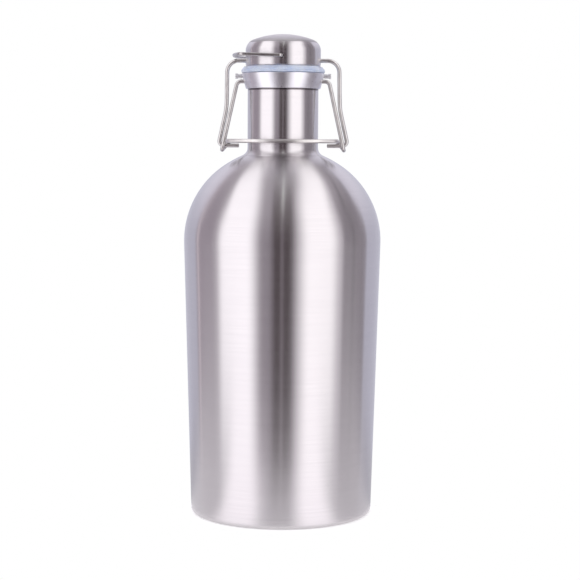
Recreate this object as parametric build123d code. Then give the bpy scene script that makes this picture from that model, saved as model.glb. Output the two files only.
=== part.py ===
from build123d import *
import os
from math import asin, atan2, cos, hypot, pi, radians, sin, sqrt, tan

# A two litre stainless steel growler with a wire swing-top closure, shut and locked.
# Millimetres, +Z up. The origin is on the ground at the middle of the base, and the
# bottle's axis is Z. The locking lever's bar lies across the front of the neck, at -Y.

# ---- bottle ----
body_radius = 59.0            # widest, at the knuckle where the wall turns into the shoulder
foot_radius = 54.5            # the tapered wall carried down to the ground
foot_round = 2.8              # outside radius where the wall turns under the foot
wall = 0.8                    # sheet thickness of the bottle and of the base
knuckle_height = 164.5        # centre of the knuckle's arc
knuckle_radius = 54.5
crown_radius = 74.5           # flatter arc above the knuckle
crown_angle = 58.0            # where the knuckle's arc passes into the crown's
neck_radius = 21.1
neck_fillet = 5.0             # hollow corner between shoulder and neck
mouth_height = 264.4          # top of the neck and of the collar
foot_ring_radius = 46.0       # inner edge of the flat ring that the bottle stands on

# ---- base ----
base_lap = 4.0                # how far the base plate laps over the foot ring, inside
base_recess = 3.6             # height of the plate's underside over the ground
base_slope = 2.6              # width of the slope between the lap and the raised middle
base_bend = 1.2               # bend radius at both ends of the slope

# ---- mouth collar ----
collar_height = 9.2
collar_base_radius = 22.3
collar_top_radius = 24.6
collar_edge = 0.4             # chamfer of its two outer edges
lug_stand_off = 0.1           # lug face outside the collar's top edge
lug_width = 8.0
lug_drop = 1.4                # how far the lug hangs below the collar
lug_round = 1.0               # rounding of the lug's sides and foot

# ---- studs and pivots on the lugs ----
stud_drop = 1.7               # stud's axis below the mouth
stud_radius = 1.6
stud_length = 3.9             # from the lug's face to the stud's end
stud_head_length = 1.5
stud_neck_radius = 1.3        # between the head and the lug
stud_edge = 0.4
shank_radius = 1.1
shank_length = 2.4
pivot_drop = 4.8              # lever's pivot below the mouth
pin_depth = 2.1               # how far the lever's ends reach into the lugs
pin_end_gap = 0.2             # between a pin's end and the bottom of its hole

# ---- wires ----
lever_wire = 2.4              # diameters
bail_wire = 2.5
loop_wire = 2.1
wire_end_chamfer = 0.35
wire_gap = 0.3                # air between the lever's bar and the neck

# ---- locking lever ----
lever_shoulder = 2.7          # from the lug's face to the corner over the leg
lever_shoulder_bend = 3.0
eye_drop = 38.1               # centre of the lever's eyes below its pivot
eye_back = 1.5                # how far the eyes lie behind the pivot: the over-centre lock
eye_gap = 0.25                # air round the bail's foot inside the eye
eye_bend_share = 0.98         # of the eye's radius, so that a short straight parts its bends
eye_front_reach = 36.4        # how far the wire stands out at each corner of the eye
eye_back_reach = 36.6
eye_top_reach = 32.3
bar_corner_reach = 32.8
bar_corner_bend = 5.5
bar_bow_radius = 45.0
bar_bow_angle = 35.0          # half of the bow's arc

# ---- cap ----
seal_gap = 0.1                # air between the resting seal and the mouth
seal_height = 3.8
seal_radius = 24.9
seal_top_radius = 23.2
seal_edge = 0.8
cap_radius = 22.4
cap_height = 19.2             # dome's top over its lower rim
cap_wall = 0.8
cap_edge_radius = 7.0         # rounding between the cap's wall and its domed top
cap_top_radius = 50.0
cap_rim_taper = 0.5
cap_rim_height = 1.3
stem_radius = 16.0
flange_radius = 17.6
flange_height = 1.9
flange_edge = 0.6
bail_hole_height = 3.6        # over the cap's lower rim
loop_hole_height = 5.7
loop_hole_depth = 4.0         # inwards from the core's side

# ---- bail ----
shoulder_reach = 33.4
shoulder_bend = 7.0
knee_drop = 28.1              # below the bail's holes, where the legs start to spread
knee_reach = 33.8
knee_bend = 40.0
bail_foot_reach = 38.8
bail_foot_bend = 2.6
bail_foot_end = 26.4          # how near the axis the inturned feet end

# ---- lift loop ----
loop_rise = 1.5               # degrees above level, at rest
loop_reach = 29.2
loop_bow_radius = 60.0
loop_bow_angle = 19.0
loop_corner_bend = 3.5
loop_knuckle_bend = 1.4
loop_gap = 0.5                # air between the loop's sides and the cap

# ---- fits ----
press_gap = 0.03              # ring on neck, neck on shoulder, stud in lug, core in dome
turn_gap = 0.08               # wire turning in its hole
loop_hole_gap = 0.3           # the lift loop is loose in its holes
stem_gap = 0.2                # seal round its stem

# ---- places worked out from the sizes above ----
cap_base = mouth_height + seal_gap + seal_height
bail_z = cap_base + bail_hole_height
loop_z = cap_base + loop_hole_height
pivot_z = mouth_height - pivot_drop
stud_z = mouth_height - stud_drop
lug_face = collar_top_radius + lug_stand_off
eye_radius = (lever_wire + bail_wire) / 2 + eye_gap
eye_z = pivot_z - eye_drop
bar_z = eye_z + eye_radius
bar_front = neck_radius + wire_gap + lever_wire / 2
core_radius = cap_radius - cap_wall - press_gap
cap_edge_x = cap_radius - cap_edge_radius
cap_crown_z = cap_base + cap_height - cap_top_radius
cap_edge_z = cap_crown_z + sqrt((cap_top_radius - cap_edge_radius) ** 2 - cap_edge_x ** 2)


def arc_about(centre_x, centre_z, radius, start, end):
    """An arc in the XZ plane about a centre, between two angles in radians."""
    def at(angle):
        return (centre_x + radius * cos(angle), 0, centre_z + radius * sin(angle))
    return ThreePointArc(at(start), at((start + end) / 2), at(end))


def ring(edges):
    """The solid made by turning a closed outline in the XZ plane about the Z axis."""
    return revolve(make_face(edges), Axis.Z)


def closed_outline(*points):
    """A closed straight-sided outline in the XZ plane."""
    return Polyline(*[(x, 0, z) for x, z in points], close=True)


def bottle_wall_line(inset):
    """One face of the bottle's wall, set in from outside: below the neck's weld and above it."""
    turn_x = body_radius - knuckle_radius
    crown = radians(crown_angle)
    crown_x = turn_x - (crown_radius - knuckle_radius) * cos(crown)
    crown_z = knuckle_height - (crown_radius - knuckle_radius) * sin(crown)
    hollow_x = neck_radius + neck_fillet
    hollow_z = crown_z + sqrt((crown_radius + neck_fillet) ** 2 - (hollow_x - crown_x) ** 2)
    hollow = atan2(hollow_z - crown_z, hollow_x - crown_x)
    # the wall leans out from the foot until it is tangent to the knuckle's arc
    lean = asin(knuckle_radius / hypot(foot_radius - turn_x, knuckle_height))
    lean -= atan2(foot_radius - turn_x, knuckle_height)
    foot_x = foot_radius + foot_round * (tan(lean) - 1 / cos(lean))
    foot = arc_about(foot_x, foot_round, foot_round - inset, radians(-90), -lean)
    knuckle = arc_about(turn_x, knuckle_height, knuckle_radius - inset, -lean, crown)
    shoulder = arc_about(crown_x, crown_z, crown_radius - inset, crown, hollow)
    flare_foot = pi + hollow - press_gap / neck_fillet
    neck_flare = arc_about(hollow_x, hollow_z, neck_fillet + inset, flare_foot, pi)
    under = Line((foot_ring_radius, 0, inset), foot @ 0)
    side = Line(foot @ 1, knuckle @ 0)
    neck = Line(neck_flare @ 1, (neck_radius - inset, 0, mouth_height))
    return [under, foot, side, knuckle, shoulder], [neck_flare, neck]


def sheet_ring(outside, inside):
    """The turned sheet between two faces of a wall, whose lines run the same way."""
    first_edge = Line(outside[0] @ 0, inside[0] @ 0)
    last_edge = Line(outside[-1] @ 1, inside[-1] @ 1)
    return ring(outside + inside + [first_edge, last_edge])


def make_body_shell():
    """Foot ring, side and shoulder: one thin wall, open at the neck and inside the foot ring."""
    outside, _ = bottle_wall_line(0)
    inside, _ = bottle_wall_line(wall)
    return sheet_ring(outside, inside)


def make_neck_tube():
    """The neck: a tube with a flared foot, which is butt-welded to the shoulder."""
    _, outside = bottle_wall_line(0)
    _, inside = bottle_wall_line(wall)
    return sheet_ring(outside, inside)


def make_base_plate():
    """A pressed disc, lapped over the foot ring inside and raised clear of the ground."""
    def face_line(lift, slope_shift, bends):
        """The plate's under or upper side, from its edge to the axis."""
        slope_foot = foot_ring_radius - wall + slope_shift
        points = [
            (foot_ring_radius + base_lap, 0, wall + lift),
            (slope_foot, 0, wall + lift),
            (slope_foot - base_slope, 0, base_recess + lift),
            (0, 0, base_recess + lift),
        ]
        return FilletPolyline(*points, radius=bends)

    slope_angle = atan2(base_recess - wall, base_slope)
    under = face_line(0, 0, [base_bend + wall, base_bend])
    upper = face_line(wall, wall * tan(slope_angle / 2), [base_bend, base_bend + wall])
    edge = Line(under @ 0, upper @ 0)
    axis = Line(under @ 1, upper @ 1)
    return ring([under, upper, edge, axis])


def make_mouth_collar():
    """A conical ring round the neck, with a flat lug on each side for the closure's wires."""
    bore = neck_radius + press_gap
    base_z = mouth_height - collar_height
    cone = ring(closed_outline(
        (bore, base_z),
        (collar_base_radius, base_z),
        (collar_top_radius, mouth_height),
        (bore, mouth_height),
    ))
    outer_rims = cone.edges().filter_by(GeomType.CIRCLE).sort_by(SortBy.RADIUS)[-2:]
    cone = chamfer(outer_rims, collar_edge)
    round_z = base_z - lug_drop + lug_width / 2
    tab = Pos(0, round_z) * Circle(lug_width / 2)
    tab += Pos(0, (round_z + mouth_height) / 2) * Rectangle(lug_width, mouth_height - round_z)
    tab = Plane.YZ * tab
    lugs = extrude(tab, amount=lug_face, both=True)
    lug_rims = lugs.faces().filter_by(Axis.X).edges()
    lugs = fillet(lug_rims - lug_rims.group_by(Axis.Z)[-1], lug_round)
    lugs -= Pos(0, 0, mouth_height) * Cylinder(bore, 2 * mouth_height)
    collar = cone + lugs
    for side in (-1, 1):
        collar -= side_hole(side, pivot_z, lever_wire / 2 + turn_gap, pin_depth + pin_end_gap)
        collar -= side_hole(side, stud_z, shank_radius + press_gap, shank_length + pin_end_gap)
    return collar


def side_rod(side, height, radius, start, length):
    """A round rod lying along X, from a distance out on one side and further outwards."""
    plane = Plane(origin=(side * start, 0, height), z_dir=(side, 0, 0))
    return extrude(plane * Circle(radius), amount=length)


def side_hole(side, height, radius, depth):
    """The cutter for a blind hole in a lug's face."""
    return side_rod(side, height, radius, lug_face - depth, depth + wall)


def make_stud(side):
    """A headed pin pressed into a lug, just over the lever's pivot."""
    head_start = lug_face + stud_length - stud_head_length
    head = side_rod(side, stud_z, stud_radius, head_start, stud_head_length)
    head = chamfer(head.edges().filter_by(GeomType.CIRCLE), stud_edge)
    neck = side_rod(side, stud_z, stud_neck_radius, lug_face, stud_length - stud_head_length)
    shank = side_rod(side, stud_z, shank_radius, lug_face - shank_length, shank_length)
    return head + neck + shank


def bent_wire(points, bends, diameter):
    """A round wire along straight runs joined by bends, with its two ends broken."""
    path = FilletPolyline(*points, radius=bends)
    section = Plane(origin=path @ 0, z_dir=path % 0) * Circle(diameter / 2)
    rod = sweep(section, path=path)
    ends = rod.faces().filter_by(GeomType.PLANE).edges()
    return chamfer(ends, wire_end_chamfer)


def bow(front, side, radius, half_angle):
    """How far out a bow's apex and its corners lie, for a bow that just reaches the front."""
    turn = radians(half_angle)
    apex = front + radius * (1 / cos(turn) - 1)
    corner = apex - side * tan(turn)
    return apex, corner


def mirrored(half, middle):
    """The points of a symmetric wire: one half, the middle, and the half seen in X."""
    return half + middle + [(-x, y, z) for x, y, z in reversed(half)]


def make_locking_lever():
    """The thumb lever: two pivot ends, two legs, an eye on each side and the front bar."""
    apex, corner = bow(bar_front, bar_corner_reach, bar_bow_radius, bar_bow_angle)
    eye_front = eye_back - eye_radius
    eye_rear = eye_back + eye_radius
    eye_foot = eye_z - eye_radius
    half = [
        (lug_face - pin_depth, 0, pivot_z),
        (lug_face + lever_shoulder, 0, pivot_z),
        (eye_front_reach, eye_front, eye_foot),
        (eye_back_reach, eye_rear, eye_foot),
        (eye_top_reach, eye_rear, bar_z),
        (bar_corner_reach, -corner, bar_z),
    ]
    eye_bend = eye_bend_share * eye_radius
    bends = [lever_shoulder_bend, eye_bend, eye_bend, eye_bend, bar_corner_bend]
    points = mirrored(half, [(0, -apex, bar_z)])
    return bent_wire(points, bends + [bar_bow_radius] + bends[::-1], lever_wire)


def make_bail():
    """The wire that carries the cap: through the cap, down both sides and into the eyes."""
    drop = bail_z - eye_z

    def at(reach, below):
        """A point of the bail, whose legs lean back from the cap to the lever's eyes."""
        return (reach, eye_back * below / drop, bail_z - below)

    half = [
        at(bail_foot_end, drop),
        at(bail_foot_reach, drop),
        at(knee_reach, knee_drop),
        at(shoulder_reach, 0),
    ]
    bends = [bail_foot_bend, knee_bend, shoulder_bend]
    return bent_wire(mirrored(half, []), bends + bends[::-1], bail_wire)


def make_cap_dome():
    """The cap's pressed steel shell: straight wall, rounded edge and shallow domed top."""
    turn = atan2(cap_edge_z - cap_crown_z, cap_edge_x)

    def face_line(inset):
        """The shell's outer or inner side, from the top of its wall to the axis."""
        edge = arc_about(cap_edge_x, cap_edge_z, cap_edge_radius - inset, 0, turn)
        crown = arc_about(0, cap_crown_z, cap_top_radius - inset, turn, radians(90))
        return edge, crown

    outer_edge, outer_crown = face_line(0)
    inner_edge, inner_crown = face_line(cap_wall)
    inner_rim = (cap_radius - cap_wall, 0, cap_base)
    wall_lines = Polyline(
        outer_edge @ 0,
        (cap_radius, 0, cap_base + cap_rim_height),
        (cap_radius - cap_rim_taper, 0, cap_base),
        inner_rim,
        inner_edge @ 0,
    )
    middle = Line(outer_crown @ 1, inner_crown @ 1)
    dome = ring([outer_edge, outer_crown, inner_edge, inner_crown, wall_lines, middle])
    return dome - wire_holes()


def wire_holes():
    """Cutters for the bail's cross hole and for the lift loop's two blind holes."""
    across = side_rod(1, bail_z, bail_wire / 2 + turn_gap, -cap_radius - wall, 2 * (cap_radius + wall))
    depth = loop_hole_depth + 2 * cap_wall
    loop_bore = Circle(loop_wire / 2 + loop_hole_gap)
    loop_hole = extrude(Plane.XZ * Pos(0, loop_z) * loop_bore, amount=-depth)
    front = Pos(0, -core_radius + loop_hole_depth - depth, 0) * loop_hole
    rear = Pos(0, core_radius - loop_hole_depth, 0) * loop_hole
    return across + front + rear


def make_cap_core():
    """The moulded plug in the dome's straight wall, with the seal's stem and its flange."""
    flange_top = mouth_height
    core = ring(closed_outline(
        (0, flange_top - flange_height),
        (flange_radius - flange_edge, flange_top - flange_height),
        (flange_radius, flange_top - flange_height + flange_edge),
        (flange_radius, flange_top),
        (stem_radius, flange_top),
        (stem_radius, cap_base),
        (core_radius, cap_base),
        (core_radius, cap_edge_z),
        (0, cap_edge_z),
    ))
    return core - wire_holes()


def make_seal_ring():
    """The soft ring between the cap and the mouth, wider at its foot than at its top."""
    base = mouth_height + seal_gap
    section = make_face(closed_outline(
        (stem_radius + stem_gap, base),
        (seal_radius, base),
        (seal_radius, base + seal_height / 2),
        (seal_top_radius, cap_base),
        (stem_radius + stem_gap, cap_base),
    ))
    outer_corners = section.vertices().group_by(Axis.X)[1:]
    outer_corners = [corner for group in outer_corners for corner in group]
    return revolve(fillet(outer_corners, seal_edge), Axis.Z)


def make_lift_loop():
    """The finger loop: two pin ends in the cap's sides and a bowed end over the bail."""
    side = cap_radius + loop_gap + loop_wire / 2
    apex, corner = bow(loop_reach, side, loop_bow_radius, loop_bow_angle)
    half = [
        (0, -(core_radius - loop_hole_depth + pin_end_gap), 0),
        (0, -side, 0),
        (-corner, -side, 0),
    ]
    points = half + [(-apex, 0, 0)] + [(x, -y, z) for x, y, z in reversed(half)]
    bends = [loop_knuckle_bend, loop_corner_bend]
    flat = bent_wire(points, bends + [loop_bow_radius] + bends[::-1], loop_wire)
    return Pos(0, 0, loop_z) * Rot(0, loop_rise, 0) * flat


nodes = {
    "body_shell": make_body_shell(),
    "neck_tube": make_neck_tube(),
    "base_plate": make_base_plate(),
    "mouth_collar": make_mouth_collar(),
    "stud_left": make_stud(-1),
    "stud_right": make_stud(1),
    "locking_lever": make_locking_lever(),
    "bail": make_bail(),
    "cap_dome": make_cap_dome(),
    "cap_core": make_cap_core(),
    "seal_ring": make_seal_ring(),
    "lift_loop": make_lift_loop(),
}

os.makedirs("parts", exist_ok=True)
for name, solid in nodes.items():
    export_step(solid, f"parts/{name}.step")
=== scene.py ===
"""Models and dresses a two litre swing-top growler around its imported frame, in metres."""

import logging
import math
from dataclasses import dataclass, field
from enum import Enum
from typing import Any, Callable, ClassVar, Sequence

import bmesh
import bpy
from mathutils import Matrix, Vector


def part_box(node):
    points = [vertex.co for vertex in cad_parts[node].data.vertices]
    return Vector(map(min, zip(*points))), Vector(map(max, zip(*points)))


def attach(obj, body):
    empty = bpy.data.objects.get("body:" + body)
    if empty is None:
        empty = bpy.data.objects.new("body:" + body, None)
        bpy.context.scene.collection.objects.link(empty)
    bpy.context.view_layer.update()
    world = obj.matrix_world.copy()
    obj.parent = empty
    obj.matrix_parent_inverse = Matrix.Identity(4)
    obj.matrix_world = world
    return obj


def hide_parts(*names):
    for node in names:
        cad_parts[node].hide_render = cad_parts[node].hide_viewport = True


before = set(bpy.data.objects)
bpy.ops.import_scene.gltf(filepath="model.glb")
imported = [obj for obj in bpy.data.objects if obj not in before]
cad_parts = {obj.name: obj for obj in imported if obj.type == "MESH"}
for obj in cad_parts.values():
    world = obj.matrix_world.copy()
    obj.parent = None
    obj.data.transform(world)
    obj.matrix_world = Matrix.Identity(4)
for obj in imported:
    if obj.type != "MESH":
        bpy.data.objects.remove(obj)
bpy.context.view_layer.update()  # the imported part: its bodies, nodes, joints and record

LOG = logging.getLogger("growler")
MM = 0.001
UP = Vector((0, 0, 1))
RIGHT = Vector((1, 0, 0))
BACK = Vector((0, 1, 0))
LYING = (0, math.pi / 2, 0)  # turns an upright cylinder so that it lies along X
SHARP = math.radians(35)  # edges turned by more than this stay sharp
NUDGE = 0.001 * MM
THROUGH = 3  # a cutter's length, in sizes of what it has to go through
WHITE = (1.0, 1.0, 1.0)

NECK_RADIUS = 21.1 * MM
SHEET = 0.8 * MM
PIVOT_DROP = 4.8 * MM
BAIL_HOLE_HEIGHT = 3.6 * MM
LOOP_HOLE_HEIGHT = 5.7 * MM

Colour = tuple[float, float, float]
Material = bpy.types.Material
Object = bpy.types.Object
Socket = bpy.types.NodeSocket


class Body(Enum):
    """The bodies that pieces ride on."""

    BOTTLE = "bottle"
    LEVER = "lever"
    BAIL = "bail"
    CAP = "cap"
    LOOP = "loop"


class Slot(Enum):
    """The record's material slots, for the pieces that are modelled here."""

    BRUSHED = "steel_brushed"
    WIRE = "steel_wire"
    SILICONE = "silicone"


class Side(Enum):
    """The two sides of the closure, by the sign of X."""

    LEFT = -1
    RIGHT = 1


# ---------------------------------------------------------------- node trees


class Graph:
    """A node tree with short calls for adding and joining its nodes.

    A noise pattern seldom strays out of VARY_SPAN, over which a number is spread, and is
    mostly in TINT_SPAN, over which a colour is.
    """

    TINT_SPAN = (0.35, 0.65)
    VARY_SPAN = (0.3, 0.7)

    def __init__(self, tree: bpy.types.NodeTree) -> None:
        """Starts from an empty tree.

        Args:
            tree: The node tree of a material.
        """
        self.tree = tree
        tree.nodes.clear()

    @classmethod
    def of_material(cls, name: str) -> tuple["Graph", Material]:
        """Makes a material.

        Args:
            name: The material's name.

        Returns:
            Its empty node tree, and the material.
        """
        material = bpy.data.materials.new(name)
        material.use_nodes = True
        return cls(material.node_tree), material

    def add(self, kind: str, inputs: dict[Any, Any] | None = None, **settings: Any) -> bpy.types.Node:
        """Adds a node.

        Args:
            kind: The node's type without its ShaderNode prefix.
            inputs: Sockets by name or number, with a value or another node's output.
            settings: The node's own properties.

        Returns:
            The new node.
        """
        node = self.tree.nodes.new("ShaderNode" + kind)
        for name, value in settings.items():
            setattr(node, name, value)
        for socket, value in (inputs or {}).items():
            if isinstance(value, Socket):
                self.tree.links.new(value, node.inputs[socket])
            else:
                node.inputs[socket].default_value = value
        return node

    def math(self, operation: str, *values: Any) -> Socket:
        """Adds a Math node on numbers or outputs and returns its output."""
        return self.add("Math", dict(enumerate(values)), operation=operation).outputs[0]

    def place(self) -> Socket:
        """Adds the place on the object, in its own coordinates, and returns it."""
        return self.add("TexCoord").outputs["Object"]

    def ramp(self, value: Any, low: float, high: float, to_low: float, to_high: float,
             smooth: bool = False) -> Socket:
        """Maps a value from one range to another, clamped.

        Args:
            value: The output to map.
            low: Start of the range that comes in.
            high: End of the range that comes in.
            to_low: Start of the range that goes out.
            to_high: End of the range that goes out.
            smooth: Eases in and out of the range.

        Returns:
            The mapped output.
        """
        kind = "SMOOTHSTEP" if smooth else "LINEAR"
        values = {0: value, 1: low, 2: high, 3: to_low, 4: to_high}
        return self.add("MapRange", values, interpolation_type=kind).outputs[0]

    def mix(self, share: Any, first: Any, second: Any) -> Socket:
        """Mixes two colours by a share and returns the mixed output."""
        values = {0: share, 6: opaque(first), 7: opaque(second)}
        return self.add("Mix", values, data_type="RGBA").outputs[2]

    def noise(self, vector: Any, scale: float, detail: float = 2.0, roughness: float = 0.5) -> Socket:
        """Adds a noise texture and returns its value, about 0.5 on average."""
        values = {"Vector": vector, "Scale": scale, "Detail": detail, "Roughness": roughness}
        return self.add("TexNoise", values).outputs[0]

    def tint(self, pattern: Any, first: Any, second: Any) -> Socket:
        """Mixes two colours by a noise pattern, so that both of them are reached."""
        return self.mix(self.ramp(pattern, *self.TINT_SPAN, 0.0, 1.0), first, second)

    def vary(self, pattern: Any, middle: float, spread: float) -> Socket:
        """Varies a number about its middle by a noise pattern."""
        return self.ramp(pattern, *self.VARY_SPAN, middle - spread, middle + spread)

    def surface(self, height: Any, depth: float, strength: float, sockets: dict[str, Any]) -> None:
        """Ends a material's tree with a Principled shader over a bump.

        Args:
            height: The output that the bump follows.
            depth: How deep the bump is.
            strength: How much of it shows, from 0 to 1.
            sockets: The shader's other sockets by name.
        """
        bump = self.add("Bump", {"Height": height, "Distance": depth, "Strength": strength})
        shader = self.add("BsdfPrincipled", {**sockets, "Normal": bump.outputs[0]})
        self.add("OutputMaterial", {0: shader.outputs[0]})


def opaque(colour: Any) -> Any:
    """Gives a colour of three numbers its alpha, and leaves a socket as it is."""
    return colour if isinstance(colour, Socket) else (*colour, 1.0)


# ---------------------------------------------------------------- finishes


@dataclass(frozen=True)
class Finish:
    """A finish that can be made into a material."""

    name: str

    def paint(self, graph: Graph, place: Socket) -> None:
        """Builds the finish's nodes.

        Args:
            graph: The material's empty node tree.
            place: The place on the object, in its own coordinates.
        """
        raise NotImplementedError

    def material(self) -> Material:
        """Makes a material of the finish.

        Returns:
            The material.
        """
        graph, material = Graph.of_material(self.name)
        self.paint(graph, graph.place())
        return material


@dataclass(frozen=True)
class BrushedSteel(Finish):
    """Stainless sheet brushed round the bottle's axis.

    The gloss is drawn out across the brush lines, and fine lines follow the turned
    shape: their pattern runs with height less radius, which never stands still along
    a profile that closes in as it rises.
    """

    colour: Colour = (0.642, 0.617, 0.633)
    worn: Colour = (0.596, 0.571, 0.590)
    roughness: float = 0.25
    gloss_spread: float = 0.010
    line_pitch: float = 0.42 * MM
    line_length: float = 45 * MM
    line_depth: float = 0.0003 * MM
    line_share: float = 0.6
    cloud_share: float = 0.4
    cloud_scale: float = 14.0
    band_scale: float = 0.11
    brushed_to: float | None = None
    plain_blend: float = 0.1 * MM
    plain_roughness: float = 0.40
    # Painted shade: the plain top darkens towards this tone next to its brushed edge, and fades back over
    # this rise.
    painted_shade_rise: float = 4.0 * MM
    plain_painted_shade: Colour = (0.36, 0.345, 0.36)
    # Painted shade: a band of heights over which the colour darkens towards a dark tone, for the shade in
    # the gap under the collar.
    painted_shade_band: tuple[float, float] | None = None
    painted_shade_colour: Colour = (0.16, 0.14, 0.15)

    def paint(self, graph: Graph, place: Socket) -> None:
        """Builds the finish's nodes.

        Args:
            graph: The material's empty node tree.
            place: The place on the object, in its own coordinates.
        """
        x, y, z = graph.add("SeparateXYZ", {0: place}).outputs
        flat = graph.add("CombineXYZ", {0: x, 1: y}).outputs[0]
        radius = graph.add("VectorMath", {0: flat}, operation="LENGTH").outputs[1]
        run = graph.math("SUBTRACT", z, radius)
        stretched = graph.add("CombineXYZ", {
            0: graph.math("DIVIDE", x, self.line_length),
            1: graph.math("DIVIDE", y, self.line_length),
            2: graph.math("DIVIDE", run, self.line_pitch),
        }).outputs[0]
        lines = graph.noise(stretched, 1.0, detail=3.0, roughness=0.65)
        bands = graph.noise(stretched, self.band_scale)
        clouds = graph.noise(place, self.cloud_scale, detail=3.0)
        tone = graph.math("ADD", graph.math("MULTIPLY", lines, self.line_share),
                          graph.math("MULTIPLY", clouds, self.cloud_share))
        colour = graph.tint(tone, self.worn, self.colour)
        # Painted shade: the colour darkens towards the band's top, where shade falls in the gap below the
        # collar.
        if self.painted_shade_band:
            depth = graph.ramp(z, *self.painted_shade_band, 0.0, 1.0)
            colour = graph.mix(graph.math("MULTIPLY", depth, depth), colour, self.painted_shade_colour)
        gloss = graph.math("ADD", graph.vary(lines, 0.0, self.gloss_spread),
                           graph.vary(bands, self.roughness, self.gloss_spread))
        stretch: Any = 1.0
        if self.brushed_to:
            edge, blend = self.brushed_to, self.plain_blend
            plain = graph.ramp(z, edge - blend, edge + blend, 0.0, 1.0)
            # Painted shade: a darker ring on the plain top just inside the brushed edge, standing in for
            # the darker reflection there.
            rise = graph.ramp(z, edge, edge + self.painted_shade_rise, 1.0, 0.0)
            colour = graph.mix(graph.math("MULTIPLY", plain, rise), colour, self.plain_painted_shade)
            gloss = graph.add("Mix", {0: plain, 2: gloss, 3: self.plain_roughness}).outputs[0]
            stretch = graph.ramp(plain, 0.0, 1.0, 1.0, 0.0)
        graph.surface(lines, self.line_depth, 1.0, {
            "Base Color": colour,
            "Metallic": 1.0,
            "Roughness": gloss,
            "Anisotropic": stretch,
            "Anisotropic Rotation": 0.25,
            "Tangent": graph.add("Tangent", direction_type="RADIAL", axis="Z").outputs[0],
        })


@dataclass(frozen=True)
class SatinCasting(Finish):
    """The mouth collar's finer satin: turned, then rubbed up and down by hand."""

    colour: Colour = (0.77, 0.76, 0.81)
    worn: Colour = (0.70, 0.69, 0.74)
    roughness: float = 0.31
    gloss_spread: float = 0.04
    rub_width: float = 0.7 * MM
    rub_length: float = 20 * MM
    rub_depth: float = 0.0004 * MM
    cloud_scale: float = 90.0

    def paint(self, graph: Graph, place: Socket) -> None:
        """Builds the finish's nodes.

        Args:
            graph: The material's empty node tree.
            place: The place on the object, in its own coordinates.
        """
        scale = (1 / self.rub_width, 1 / self.rub_width, 1 / self.rub_length)
        rub = graph.add("Mapping", {0: place, "Scale": scale}).outputs[0]
        rubbed = graph.noise(rub, 1.0, roughness=0.6)
        clouds = graph.noise(place, self.cloud_scale, detail=1.0)
        tone = graph.math("MULTIPLY", graph.math("ADD", rubbed, clouds), 0.5)
        graph.surface(rubbed, self.rub_depth, 1.0, {
            "Base Color": graph.tint(tone, self.worn, self.colour),
            "Metallic": 1.0,
            "Roughness": graph.vary(rubbed, self.roughness, self.gloss_spread),
        })


@dataclass(frozen=True)
class DrawnWire(Finish):
    """Polished stainless wire, with the faint scuffs that drawing and bending leave."""

    colour: Colour = (0.69, 0.67, 0.66)
    worn: Colour = (0.62, 0.60, 0.59)
    roughness: float = 0.31
    polish: float = 0.03
    dulling: float = 0.04
    scuff_size: float = 1.6 * MM
    scuff_depth: float = 0.001 * MM
    scuff_strength: float = 0.3
    scuff_range: tuple[float, float] = (0.3, 0.75)
    cloud_scale: float = 220.0

    def paint(self, graph: Graph, place: Socket) -> None:
        """Builds the finish's nodes.

        Args:
            graph: The material's empty node tree.
            place: The place on the object, in its own coordinates.
        """
        scuffs = graph.noise(place, 1 / self.scuff_size, detail=3.0, roughness=0.6)
        clouds = graph.noise(place, self.cloud_scale, detail=1.0)
        gloss = (self.roughness - self.polish, self.roughness + self.dulling)
        graph.surface(scuffs, self.scuff_depth, self.scuff_strength, {
            "Base Color": graph.tint(clouds, self.worn, self.colour),
            "Metallic": 1.0,
            "Roughness": graph.ramp(scuffs, *self.scuff_range, *gloss),
        })


@dataclass(frozen=True)
class MouldedPlastic(Finish):
    """Off-white moulded plastic with a fine spark-eroded grain."""

    colour: Colour = (0.80, 0.79, 0.75)
    pale: Colour = (0.86, 0.85, 0.82)
    roughness: float = 0.5
    gloss_spread: float = 0.06
    grain: float = 0.35 * MM
    grain_detail: float = 3.0
    grain_depth: float = 0.02 * MM
    grain_strength: float = 0.5
    cloud_scale: float = 90.0

    def sockets(self) -> dict[str, Any]:
        """The shader's further sockets, of which plain plastic has none."""
        return {}

    def paint(self, graph: Graph, place: Socket) -> None:
        """Builds the finish's nodes.

        Args:
            graph: The material's empty node tree.
            place: The place on the object, in its own coordinates.
        """
        grain = graph.noise(place, 1 / self.grain, detail=self.grain_detail)
        graph.surface(grain, self.grain_depth, self.grain_strength, {
            "Base Color": graph.tint(graph.noise(place, self.cloud_scale), self.colour, self.pale),
            "Roughness": graph.vary(grain, self.roughness, self.gloss_spread),
            **self.sockets(),
        })


@dataclass(frozen=True)
class Silicone(MouldedPlastic):
    """Translucent pale blue silicone, satin from the mould."""

    colour: Colour = (0.58, 0.67, 0.89)
    pale: Colour = (0.70, 0.78, 0.97)
    roughness: float = 0.30
    gloss_spread: float = 0.05
    grain: float = 0.5 * MM
    grain_detail: float = 2.0
    grain_depth: float = 0.01 * MM
    cloud_scale: float = 180.0

    def sockets(self) -> dict[str, Any]:
        """The sockets that let light into the ring and give it its soft sheen.

        Returns:
            Their values by name.
        """
        return {
            "Coat Weight": 0.7,
            "Coat Roughness": 0.22,
            "Subsurface Weight": 0.7,
            "Subsurface Radius": (0.8, 0.9, 1.0),
            "Subsurface Scale": 2.5 * MM,
            "Transmission Weight": 0.15,
            "IOR": 1.41,
        }


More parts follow.
